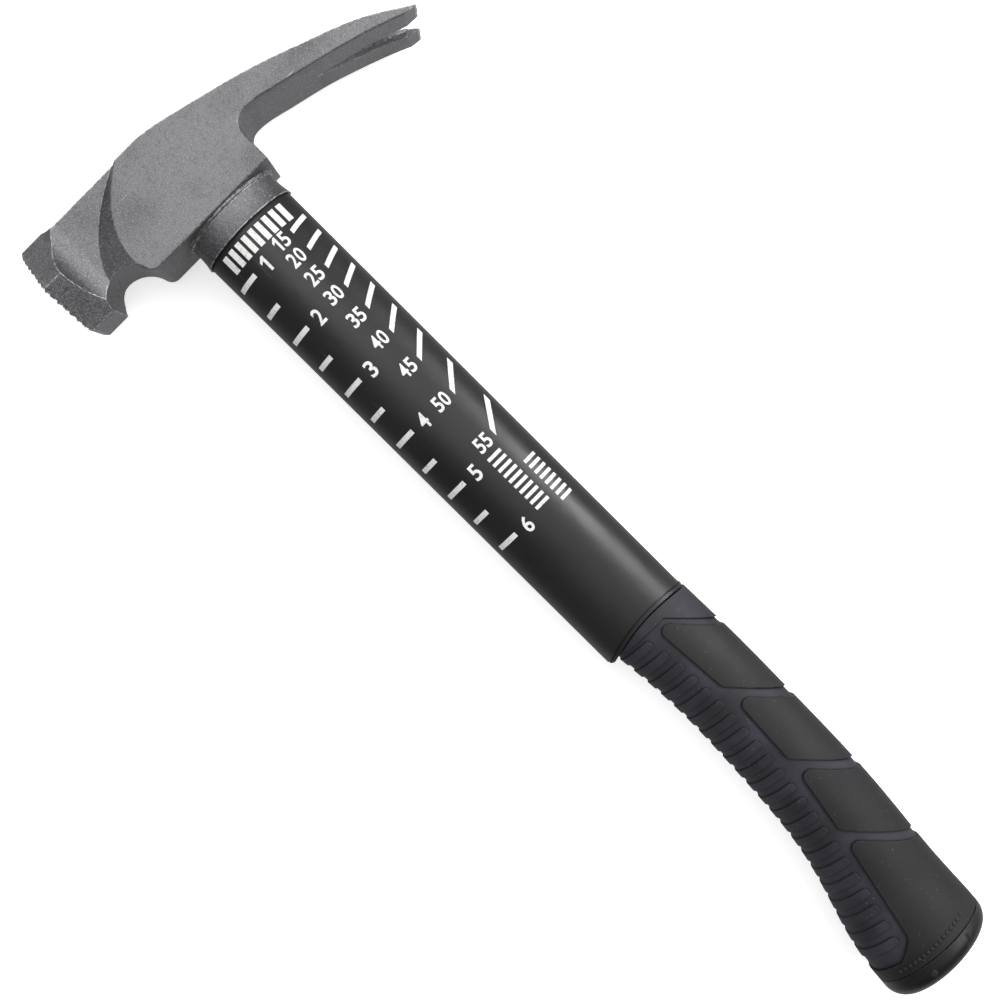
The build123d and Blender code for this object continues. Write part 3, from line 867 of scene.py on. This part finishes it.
        # cuts along the handle let the digit bend round the oval
        strips = int(width / self.digit_strip) + 1
        for cut in range(1, strips):
            bmesh.ops.bisect_plane(
                shape, geom=shape.verts[:] + shape.edges[:] + shape.faces[:],
                plane_co=(0, y - width / 2 + width * cut / strips, 0), plane_no=(0, 1, 0))
        for vert in shape.verts:
            vert.co.z += self.level(vert.co.y) + self.lift + self.ink / 2
            vert.co *= MM
        bmesh.ops.recalc_face_normals(shape, faces=shape.faces)
        return shape

    def numerals(self, row: NumeralRow, ink: bpy.types.Material) -> bpy.types.Mesh:
        """Makes all numbers of one row in one mesh.

        Args:
            row: Which row.
            ink: The ink's material.

        Returns:
            The mesh.
        """
        if row is NumeralRow.INCH:
            y, height, width = self.inch_label
            first = self.zero + self.inch_label_shift
            numbers = [(str(n), first + self.inch * n) for n in range(1, self.inches + 1)]
        else:
            y, height, width = self.angle_label
            numbers = [(f"{self.angle_first + self.angle_step * i:.0f}", x)
                       for i, x in enumerate(self.angle_label_x)]
        mesh = bpy.data.meshes.new(row.value)
        whole = bmesh.new()
        for text, x in numbers:
            for place_in_text, digit in enumerate(text):
                offset = (place_in_text - (len(text) - 1) / 2) * (width + self.digit_gap)
                wide = width * self.one_share if digit == "1" else width
                shape = self.digit(digit, x, y + offset, height, wide)
                shape.to_mesh(mesh)
                whole.from_mesh(mesh)
                shape.free()
        whole.to_mesh(mesh)
        whole.free()
        mesh.materials.append(ink)
        return mesh

    def build(self) -> None:
        """Builds the marks, the numbers and the plain blocks."""
        ink = PrintInk().material()
        tree = self.bars_tree()
        for kind in TickKind:
            place(f"{kind.value}_inch_marks", self.ticks(tree, kind, ink))
        place("nail_angle_marks", self.angle_marks(tree, ink))
        for row in NumeralRow:
            place(f"{row.value}_numbers", self.numerals(row, ink))
        place("print_block_collar", self.collar_band(tree, ink))
        place("print_block_middle", self.block(tree, self.middle_block, ink))
        place("print_block_upper", self.block(tree, self.upper_block, ink))


@dataclass(frozen=True)
class MarkRow:
    """One row of raised marks. In millimetres."""

    name: str
    surface: str
    slot: str
    count: int
    start: tuple[float, float]
    step: float
    size: tuple[float, float, float]


@dataclass
class MouldedMarks:
    """Small raised marks moulded into the grip's last panel and the butt cap."""

    nodes: Nodes
    rubber: MouldedRubber = MouldedRubber(
        "moulded_mark_rubber", body="#16151a", bloom="#222026", dust_share=0.2)
    rows: tuple[MarkRow, ...] = (
        MarkRow("butt_dots", "grip_panel_4", "grip_panel_rubber", count=16, start=(357.6, 5.6),
                step=-1.95, size=(1.9, 1.9, 1.0)),
        MarkRow("cap_pips", "butt_cap", "cap_rubber", count=2, start=(364.6, 1.9),
                step=-17.4, size=(3.2, 3.2, 0.8)))
    above: float = 30.0

    def tree(self) -> bpy.types.GeometryNodeTree:
        """Plans a row of soft raised marks, dropped onto a surface and turned to lie flat on it.

        Returns:
            The node tree.
        """
        tree, given = new_tree("raised_marks", {
            "Count": "Int", "Start": "Vector", "Step": "Vector", "Mark Size": "Vector",
            "Surface": "Object", "Drop": "Float", "Rubber": "Material"})
        line = put(tree, "GeometryNodeMeshLine", {}, {
            "Count": given["Count"], "Start Location": given["Start"], "Offset": given["Step"]})
        below = put(tree, "GeometryNodeObjectInfo", {}, {"Object": given["Surface"]})
        drop = put(tree, "GeometryNodeRaycast", {}, {
            "Target Geometry": below.outputs["Geometry"], "Ray Direction": (0.0, 0.0, -1.0),
            "Ray Length": given["Drop"]})
        landed = put(tree, "GeometryNodeSetPosition", {}, {
            "Geometry": line, "Position": drop.outputs["Hit Position"]})
        turn = put(tree, "FunctionNodeAlignRotationToVector", {"axis": "Z"}, {
            "Vector": drop.outputs["Hit Normal"]})
        block = put(tree, "GeometryNodeMeshCube", {}, {"Size": given["Mark Size"]})
        soft = put(tree, "GeometryNodeSubdivisionSurface", {}, {
            "Mesh": block.outputs["Mesh"], "Level": 3})
        row = put(tree, "GeometryNodeInstanceOnPoints", {}, {
            "Points": landed, "Instance": soft, "Rotation": turn})
        real = put(tree, "GeometryNodeRealizeInstances", {}, {"Geometry": row})
        smooth = put(tree, "GeometryNodeSetShadeSmooth", {}, {"Geometry": real})
        dressed = put(tree, "GeometryNodeSetMaterial", {}, {
            "Geometry": smooth, "Material": given["Rubber"]})
        put(tree, "NodeGroupOutput", {}, {"Geometry": dressed})
        return tree

    def build(self) -> None:
        """Builds each row of marks."""
        tree = self.tree()
        rubber = self.rubber.material()
        for row in self.rows:
            mesh = run_tree(tree, {
                "Count": row.count, "Start": (row.start[0] * MM, row.start[1] * MM, self.above * MM),
                "Step": (0.0, row.step * MM, 0.0), "Mark Size": tuple(side * MM for side in row.size),
                "Surface": self.nodes[row.surface], "Drop": 2 * self.above * MM, "Rubber": rubber})
            place(row.name, mesh)


# ---------------------------------------------------------------------------- studio
@dataclass(frozen=True)
class SoftPanel:
    """One large soft light panel that faces the hammer. In metres and watts."""

    name: str
    at: tuple[float, float, float]
    size: tuple[float, float]
    watts: float


@dataclass
class Studio:
    """Pale floor, soft light from large panels and the camera. In metres."""

    floor_level: float = -0.0206
    floor_half: float = 3.0
    floor_colour: str = "#f4f4f4"
    floor_bounce: str = "#b0b0b0"
    floor_glow: float = 0.62
    bounce_glow: float = 0.22
    sky: str = "#eaeaea"
    striking_side: str = "#9a9a9a"
    butt_side: str = "#585858"
    striking_edge: tuple[float, float] = (0.1, -0.75)
    butt_edge: tuple[float, float] = (0.25, 0.9)
    backdrop: str = "#ffffff"
    sky_strength: float = 0.8
    aim: tuple[float, float, float] = (0.16, 0.0, 0.0)
    panels: tuple[SoftPanel, ...] = (
        SoftPanel("key_panel", (0.35, 0.9, 0.75), (0.9, 0.7), 2.6),
        SoftPanel("top_panel", (-0.25, 0.1, 1.1), (0.8, 0.8), 4.0),
        SoftPanel("sleeve_panel", (0.24, 0.6, 0.48), (0.14, 0.24), 2.4),
        SoftPanel("butt_panel", (0.66, 0.3, 0.5), (0.3, 0.3), 0.9))
    lens: float = 42.336
    eye: tuple[float, float, float] = (0.1241, -0.0001, 0.420)
    right: tuple[float, float, float] = (0.70915, 0.70486, 0.01699)
    up: tuple[float, float, float] = (-0.70414, 0.70925, -0.03398)
    back: tuple[float, float, float] = (-0.0360, 0.01213, 0.99928)

    def floor(self) -> None:
        """Lays the pale floor, which throws little light back at the hammer's sides."""
        half, level = self.floor_half, self.floor_level
        mesh = bpy.data.meshes.new("floor")
        corners = [(-half, -half, level), (half, -half, level), (half, half, level), (-half, half, level)]
        mesh.from_pydata(corners, [], [(0, 1, 2, 3)])
        floor = bpy.data.objects.new("floor", mesh)
        bpy.context.scene.collection.objects.link(floor)
        material = bpy.data.materials.new("studio_floor")
        material.use_nodes = True
        tree = material.node_tree
        tree.nodes.clear()
        seen = put(tree, "ShaderNodeLightPath").outputs["Is Camera Ray"]
        colour = put(tree, "ShaderNodeMix", {"data_type": "RGBA"}, {
            0: seen, 6: linear(self.floor_bounce), 7: linear(self.floor_colour)})
        glow = put(tree, "ShaderNodeMapRange", {}, {
            "Value": seen, "To Min": self.bounce_glow, "To Max": self.floor_glow})
        shader = put(tree, "ShaderNodeBsdfPrincipled", {}, {
            "Base Color": colour, "Roughness": 0.9, "Emission Color": linear(self.backdrop),
            "Emission Strength": glow})
        put(tree, "ShaderNodeOutputMaterial", {}, {"Surface": shader})
        mesh.materials.append(material)

    def surroundings(self) -> None:
        """Sets the soft surroundings, darker on the striking side and past the butt."""
        world = bpy.data.worlds.new("studio")
        bpy.context.scene.world = world
        world.use_nodes = True
        tree = world.node_tree
        tree.nodes.clear()
        way = put(tree, "ShaderNodeSeparateXYZ", {}, {
            0: put(tree, "ShaderNodeTexCoord").outputs["Generated"]}).outputs
        colour = linear(self.sky)
        for axis, edge, shade in (("Y", self.striking_edge, self.striking_side),
                                  ("X", self.butt_edge, self.butt_side)):
            cover = put(tree, "ShaderNodeMapRange", {"interpolation_type": "SMOOTHSTEP"}, {
                "Value": way[axis], "From Min": edge[0], "From Max": edge[1]})
            colour = put(tree, "ShaderNodeMix", {"data_type": "RGBA"}, {
                0: cover, 6: colour, 7: linear(shade)})
        # behind the floor's edge the backdrop is as pale as the floor
        seen = put(tree, "ShaderNodeLightPath").outputs["Is Camera Ray"]
        colour = put(tree, "ShaderNodeMix", {"data_type": "RGBA"}, {
            0: seen, 6: colour, 7: linear(self.backdrop)})
        glow = put(tree, "ShaderNodeBackground", {}, {"Color": colour, "Strength": self.sky_strength})
        put(tree, "ShaderNodeOutputWorld", {}, {"Surface": glow})

    def light(self, panel: SoftPanel) -> None:
        """Hangs one panel, turned to the hammer."""
        light = bpy.data.lights.new(panel.name, "AREA")
        light.shape = "RECTANGLE"
        light.size, light.size_y = panel.size
        light.energy = panel.watts
        lamp = bpy.data.objects.new(panel.name, light)
        lamp.location = panel.at
        lamp.rotation_euler = (Vector(self.aim) - Vector(panel.at)).to_track_quat("-Z", "Y").to_euler()
        bpy.context.scene.collection.objects.link(lamp)

    def camera(self) -> None:
        """Sets the camera above the near cheek."""
        data = bpy.data.cameras.new("camera")
        data.lens = self.lens
        data.sensor_width = 36.0
        data.clip_start = 0.01
        data.clip_end = 20.0
        camera = bpy.data.objects.new("camera", data)
        turn = Matrix((self.right, self.up, self.back)).transposed().to_4x4()
        camera.matrix_world = Matrix.Translation(self.eye) @ turn
        bpy.context.scene.collection.objects.link(camera)
        bpy.context.scene.camera = camera

    def build(self) -> None:
        """Builds the floor, the light and the camera."""
        self.floor()
        self.surroundings()
        for panel in self.panels:
            self.light(panel)
        self.camera()
        bpy.context.scene.view_settings.view_transform = "Standard"
        LOG.info("studio ready")


def main() -> None:
    """Builds every sub-assembly in order."""
    logging.basicConfig(level=logging.INFO, format="%(name)s: %(message)s")
    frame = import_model()
    nodes: Nodes = frame["nodes"]
    for assembly in (HammerHead(nodes), Shaft(nodes), Grip(nodes), PrintedScale(),
                     MouldedMarks(nodes), Studio()):
        assembly.build()


if __name__ == "__main__":
    main()
